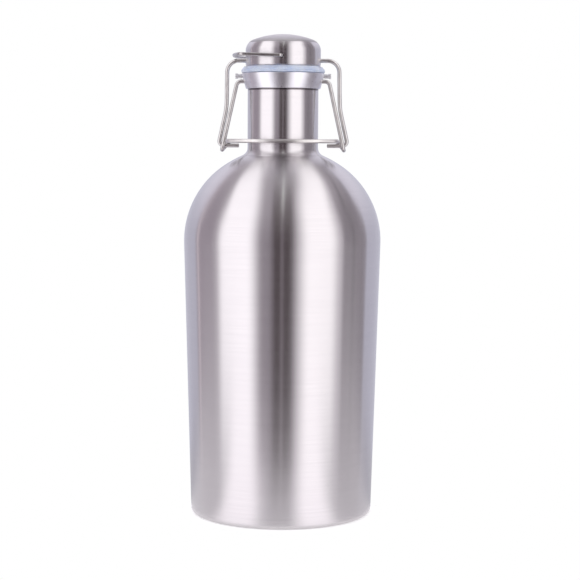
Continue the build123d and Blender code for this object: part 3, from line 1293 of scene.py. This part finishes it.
@dataclass
class Studio:
    """A white world, a soft light tent with two tall lit panels, and a pale table on a wide card."""

    table_radius: float = 60 * MM
    table_lift: float = 0.50
    table_papers: tuple[Colour, Colour] = ((0.73, 0.73, 0.74), (0.77, 0.77, 0.77))
    table_tooth: float = 600.0
    card_half: tuple[float, float] = (0.50, 0.18)
    card_drop: float = 1.0 * MM
    card: Colour = (0.88, 0.86, 0.89)
    card_panels: Sequence[Panel] = (
        Panel("card_back_left", (0.59, 0.58, 0.63), -180, -112, 3, 30),
        Panel("card_right", (0.80, 0.78, 0.81), 60, 180, 24, 3),
        Panel("card_back_right", (0.59, 0.58, 0.63), 108, 180, 30, 3),
        Panel("card_lit_left", (1.50, 1.45, 1.50), -53, -15, 16, 20),
        Panel("card_lit_right", (1.50, 1.45, 1.50), 15, 46, 20, 16),
    )
    tent_radius: float = 4.0
    walls: Colour = (0.65, 0.65, 0.75)
    ceiling: Colour = (0.67, 0.65, 0.68)
    ceiling_span: tuple[float, float] = (62.0, 96.0)
    over_the_top: tuple[float, float] = (26.0, 89.0)
    panels: Sequence[Panel] = (
        Panel("back_upper", (0.97, 0.95, 1.06), -180, 180, 1, 1, bottom=18),
        Panel("side_left", (0.45, 0.40, 0.45), -118, 0, 5, 3),
        Panel("side_right", (0.35, 0.32, 0.35), 0, 118, 3, 5),
        Panel("sides_upper", (0.58, 0.54, 0.58), -112, 112, 12, 12, bottom=42, height_fade=30),
        Panel("left_line", (1.05, 0.92, 0.95), -114.2, -111.8, 1.0, 1.0),
        Panel("left_step", (0.60, 0.56, 0.60), -85, -60, 6, 4),
        Panel("right_step", (0.84, 0.80, 0.84), 50, 78, 5, 5),
        Panel("left_inner", (0.345, 0.31, 0.345), -45, -9, 6, 9),
        Panel("inner_upper", (0.56, 0.52, 0.56), -45, -9, 6, 9, bottom=22),
        Panel("front_dark", (0.075, 0.055, 0.06), -9, 15, 9, 12),
        Panel("front_middle", (0.22, 0.195, 0.20), -9, 15, 9, 12, bottom=22),
        Panel("front_upper", (0.42, 0.39, 0.41), -9, 15, 9, 12, bottom=62, height_fade=30),
        Panel("lit_left", (1.64, 1.61, 1.64), -76.3, -29.3, 12, 20),
        Panel("lit_right", (1.64, 1.61, 1.62), 24.2, 68.5, 24, 15),
        Panel("front_slit", (0.32, 0.28, 0.31), 1.4, 3.8, 0.8, 0.8),
        Panel("upper_slit", (2.40, 2.55, 2.40), 1.9, 3.3, 0.5, 0.5, bottom=48),
        Panel("right_seam", (0.27, 0.25, 0.27), 92, 97, 1.5, 1.5),
    )

    def build(self) -> None:
        """Builds the world, the tent, the card, the table and the camera."""
        world = bpy.data.worlds.new("white_surround")
        world.use_nodes = True
        world.node_tree.nodes["Background"].inputs[0].default_value = opaque(WHITE)
        bpy.context.scene.world = world
        self.build_tent()
        self.build_card()
        self.build_table()
        Viewpoint().build()

    def build_tent(self) -> None:
        """Hangs the light tent round the object, out of the camera's sight.

        Overhead, an azimuth drifts to how far sideways a place lies, so that the tall
        panels don't all meet in one point at the top.
        """
        bpy.ops.mesh.primitive_uv_sphere_add(segments=64, ring_count=32, radius=self.tent_radius)
        tent = Workpiece("studio_tent").done()
        graph, material = Graph.of_material("tent_light")
        direction = graph.add("VectorMath", {0: graph.place()}, operation="NORMALIZE").outputs[0]
        x, y, z = graph.add("SeparateXYZ", {0: direction}).outputs
        azimuth = self.azimuth_of(graph, x, y)
        elevation = graph.math("MULTIPLY", graph.math("ARCSINE", z), math.degrees(1))
        sideways = graph.math("MULTIPLY", graph.math("ARCSINE", x), math.degrees(1))
        over = graph.ramp(elevation, *self.over_the_top, 0.0, 1.0, smooth=True)
        drift = graph.math("MULTIPLY", over, graph.math("SUBTRACT", sideways, azimuth))
        azimuth = graph.math("ADD", azimuth, drift)
        light = self.panelled(graph, self.walls, self.panels, azimuth, elevation)
        overhead = graph.ramp(elevation, *self.ceiling_span, 0.0, 1.0, smooth=True)
        light = graph.mix(overhead, light, self.ceiling)
        self.make_glow(graph, material, tent, light)

    def build_card(self) -> None:
        """Lays the card that lights the foot from below, out of the camera's sight."""
        bpy.ops.mesh.primitive_circle_add(vertices=128, radius=1.0, fill_type="NGON")
        bpy.context.object.scale = (*self.card_half, 1.0)
        bpy.context.object.location.z = -self.card_drop
        card = Workpiece("studio_card").done()
        graph, material = Graph.of_material("card_light")
        x, y, _ = graph.add("SeparateXYZ", {0: graph.place()}).outputs
        light = self.panelled(graph, self.card, self.card_panels, self.azimuth_of(graph, x, y))
        self.make_glow(graph, material, card, light)

    def azimuth_of(self, graph: Graph, x: Socket, y: Socket) -> Socket:
        """The azimuth of a place, in degrees from the front, to the right above zero."""
        forwards = graph.math("MULTIPLY", y, -1.0)
        return graph.math("MULTIPLY", graph.math("ARCTAN2", x, forwards), math.degrees(1))

    def panelled(self, graph: Graph, ground: Colour, panels: Sequence[Panel], azimuth: Socket,
                 elevation: Socket | None = None) -> Socket:
        """Lays panels over a ground tone, each over the ones before it.

        Args:
            graph: The node tree to build in.
            ground: The tone where no panel is.
            panels: The panels.
            azimuth: The direction's azimuth in degrees.
            elevation: The direction's elevation in degrees, for panels with a bottom.

        Returns:
            The light as a colour output.
        """
        light: Any = ground
        for panel in panels:
            share = graph.math(
                "MULTIPLY",
                self.edge(graph, azimuth, panel.left, panel.left_fade, 0, 1),
                self.edge(graph, azimuth, panel.right, panel.right_fade, 1, 0))
            if panel.bottom is not None:
                rise = self.edge(graph, elevation, panel.bottom, panel.height_fade, 0, 1)
                share = graph.math("MULTIPLY", share, rise)
            light = graph.mix(share, light, panel.colour)
        return light

    def edge(self, graph: Graph, angle: Any, middle: float, fade: float, before: int,
             after: int) -> Socket:
        """A soft edge: one number before an angle and another after it, eased over the fade."""
        return graph.ramp(angle, middle - fade / 2, middle + fade / 2, before, after, smooth=True)

    def make_glow(self, graph: Graph, material: Material, prop: Object, light: Socket) -> None:
        """Makes a prop glow with a light, and hides it from the camera.

        Args:
            graph: The material's node tree.
            material: The prop's material.
            prop: The prop.
            light: The light as a colour output.
        """
        glow = graph.add("Emission", {0: light, 1: 1.0})
        graph.add("OutputMaterial", {0: glow.outputs[0]})
        material.cycles.emission_sampling = "NONE"
        prop.data.materials.append(material)
        prop.visible_camera = False

    def build_table(self) -> None:
        """Makes the round table, lifted to white for the camera and for metal and glass."""
        bpy.ops.mesh.primitive_circle_add(vertices=128, radius=self.table_radius, fill_type="NGON")
        table = Workpiece("studio_table").done()
        graph, material = Graph.of_material("table_paper")
        paper = graph.mix(graph.noise(graph.place(), self.table_tooth), *self.table_papers)
        matt = graph.add("BsdfDiffuse", {0: paper})
        path = graph.add("LightPath").outputs
        straight = graph.math("MAXIMUM", path["Is Camera Ray"], path["Is Transmission Ray"])
        seen = graph.math("MAXIMUM", straight, path["Is Glossy Ray"])
        strength = graph.math("MULTIPLY", seen, self.table_lift)
        lift = graph.add("Emission", {0: opaque(WHITE), 1: strength})
        both = graph.add("AddShader", {0: matt.outputs[0], 1: lift.outputs[0]})
        graph.add("OutputMaterial", {0: both.outputs[0]})
        table.data.materials.append(material)


@dataclass
class Viewpoint:
    """The camera: where it stands round the axis, and how it is turned."""

    distance: float = 0.9849
    height: float = 0.2231
    azimuth: float = 2.8  # the angles are in degrees
    pitch: float = 5.128
    roll: float = 0.315
    half_view: float = 10.035
    sensor: float = 36.0
    shift: float = 0.0137931

    def build(self) -> Object:
        """Makes the camera and hands it to the scene.

        Returns:
            The camera.
        """
        data = bpy.data.cameras.new("main_camera")
        data.sensor_width = self.sensor
        data.lens = self.sensor / 2 / math.tan(math.radians(self.half_view))
        data.shift_x = self.shift
        camera = bpy.data.objects.new("main_camera", data)
        bpy.context.scene.collection.objects.link(camera)
        turn = math.radians(self.azimuth)
        camera.location = (self.distance * math.sin(turn), -self.distance * math.cos(turn), self.height)
        aim = Matrix.Rotation(turn, 3, "Z") @ Matrix.Rotation(math.radians(90 - self.pitch), 3, "X")
        camera.rotation_euler = (aim @ Matrix.Rotation(math.radians(self.roll), 3, "Z")).to_euler()
        bpy.context.scene.camera = camera
        return camera


def main() -> None:
    """Builds the growler piece by piece, then the studio round it."""
    logging.basicConfig(level=logging.INFO, format="%(name)s: %(message)s")
    bpy.ops.object.select_all(action="DESELECT")
    palette = Palette.mixed()
    for assembly in (Bottle(palette), Cap(palette), Closure(palette), Studio()):
        LOG.info("building %s", type(assembly).__name__.lower())
        assembly.build()
    bpy.context.scene.view_settings.view_transform = "Standard"


if __name__ == "__main__":
    main()
